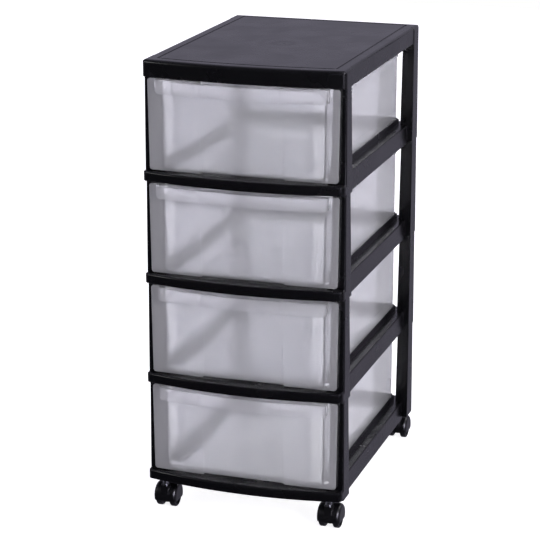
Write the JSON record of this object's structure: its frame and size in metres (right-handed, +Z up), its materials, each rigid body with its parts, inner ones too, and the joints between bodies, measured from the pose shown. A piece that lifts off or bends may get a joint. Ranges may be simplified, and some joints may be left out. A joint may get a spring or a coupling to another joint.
{
  "type": "drawer tower",
  "caption": "Stackable plastic drawer tower on swivel castors: black open frames, frosted pull-out drawers with full-width handles and a flat top cover.",
  "frame": {"origin": "on the floor, under the middle of the whole footprint, from the front rail's bow to the back castors' hoods", "axes": "+Z up, -Y the front where the drawers pull out, +X to the right for someone who faces the front; the tower is the same on both sides of the YZ plane"},
  "size_m": [0.266, 0.392, 0.604],
  "materials": {
    "black_plastic": "moulded polypropylene, glossy with a slight sheen",
    "frosted_plastic": "frosted see-through polypropylene",
    "castor_plastic": "moulded nylon, satin",
    "wheel_plastic": "hard moulded wheel, worn satin",
    "steel": "zinc-plated turned steel"
  },
  "bodies": {
    "tower": {"top_cover": "black_plastic", "tier_frame_1": "black_plastic", "tier_frame_2": "black_plastic", "tier_frame_3": "black_plastic", "tier_frame_4": "black_plastic", "front_left_stem": "steel", "front_right_stem": "steel", "back_left_stem": "steel", "back_right_stem": "steel"},
    "drawer_1": {"drawer_1": "frosted_plastic"},
    "drawer_2": {"drawer_2": "frosted_plastic"},
    "drawer_3": {"drawer_3": "frosted_plastic"},
    "drawer_4": {"drawer_4": "frosted_plastic"},
    "front_left_castor": {"front_left_hood": "castor_plastic", "front_left_axle": "steel"},
    "front_left_wheel_left": {"front_left_wheel_left": "wheel_plastic"},
    "front_left_wheel_right": {"front_left_wheel_right": "wheel_plastic"},
    "front_right_castor": {"front_right_hood": "castor_plastic", "front_right_axle": "steel"},
    "front_right_wheel_left": {"front_right_wheel_left": "wheel_plastic"},
    "front_right_wheel_right": {"front_right_wheel_right": "wheel_plastic"},
    "back_left_castor": {"back_left_hood": "castor_plastic", "back_left_axle": "steel"},
    "back_left_wheel_left": {"back_left_wheel_left": "wheel_plastic"},
    "back_left_wheel_right": {"back_left_wheel_right": "wheel_plastic"},
    "back_right_castor": {"back_right_hood": "castor_plastic", "back_right_axle": "steel"},
    "back_right_wheel_left": {"back_right_wheel_left": "wheel_plastic"},
    "back_right_wheel_right": {"back_right_wheel_right": "wheel_plastic"}
  },
  "joints": [
    {"name": "drawer_1_slide", "type": "slide", "parent": "tower", "child": "drawer_1", "axis": [0, -1, 0], "range_m": [0, 0.24]},
    {"name": "drawer_2_slide", "type": "slide", "parent": "tower", "child": "drawer_2", "axis": [0, -1, 0], "range_m": [0, 0.24]},
    {"name": "drawer_3_slide", "type": "slide", "parent": "tower", "child": "drawer_3", "axis": [0, -1, 0], "range_m": [0, 0.24]},
    {"name": "drawer_4_slide", "type": "slide", "parent": "tower", "child": "drawer_4", "axis": [0, -1, 0], "range_m": [0, 0.24]},
    {"name": "front_left_swivel", "type": "hinge", "parent": "tower", "child": "front_left_castor", "pos_m": [-0.113, -0.168, 0.03], "axis": [0, 0, 1], "continuous": true},
    {"name": "front_left_wheel_left_spin", "type": "hinge", "parent": "front_left_castor", "child": "front_left_wheel_left", "pos_m": [-0.113, -0.159, 0.014], "axis": [1, 0, 0], "continuous": true},
    {"name": "front_left_wheel_right_spin", "type": "hinge", "parent": "front_left_castor", "child": "front_left_wheel_right", "pos_m": [-0.113, -0.159, 0.014], "axis": [1, 0, 0], "continuous": true},
    {"name": "front_right_swivel", "type": "hinge", "parent": "tower", "child": "front_right_castor", "pos_m": [0.113, -0.168, 0.03], "axis": [0, 0, 1], "continuous": true},
    {"name": "front_right_wheel_left_spin", "type": "hinge", "parent": "front_right_castor", "child": "front_right_wheel_left", "pos_m": [0.113, -0.159, 0.014], "axis": [1, 0, 0], "continuous": true},
    {"name": "front_right_wheel_right_spin", "type": "hinge", "parent": "front_right_castor", "child": "front_right_wheel_right", "pos_m": [0.113, -0.159, 0.014], "axis": [1, 0, 0], "continuous": true},
    {"name": "back_left_swivel", "type": "hinge", "parent": "tower", "child": "back_left_castor", "pos_m": [-0.113, 0.1705, 0.03], "axis": [0, 0, 1], "continuous": true},
    {"name": "back_left_wheel_left_spin", "type": "hinge", "parent": "back_left_castor", "child": "back_left_wheel_left", "pos_m": [-0.113, 0.1795, 0.014], "axis": [1, 0, 0], "continuous": true},
    {"name": "back_left_wheel_right_spin", "type": "hinge", "parent": "back_left_castor", "child": "back_left_wheel_right", "pos_m": [-0.113, 0.1795, 0.014], "axis": [1, 0, 0], "continuous": true},
    {"name": "back_right_swivel", "type": "hinge", "parent": "tower", "child": "back_right_castor", "pos_m": [0.113, 0.1705, 0.03], "axis": [0, 0, 1], "continuous": true},
    {"name": "back_right_wheel_left_spin", "type": "hinge", "parent": "back_right_castor", "child": "back_right_wheel_left", "pos_m": [0.113, 0.1795, 0.014], "axis": [1, 0, 0], "continuous": true},
    {"name": "back_right_wheel_right_spin", "type": "hinge", "parent": "back_right_castor", "child": "back_right_wheel_right", "pos_m": [0.113, 0.1795, 0.014], "axis": [1, 0, 0], "continuous": true}
  ]
}
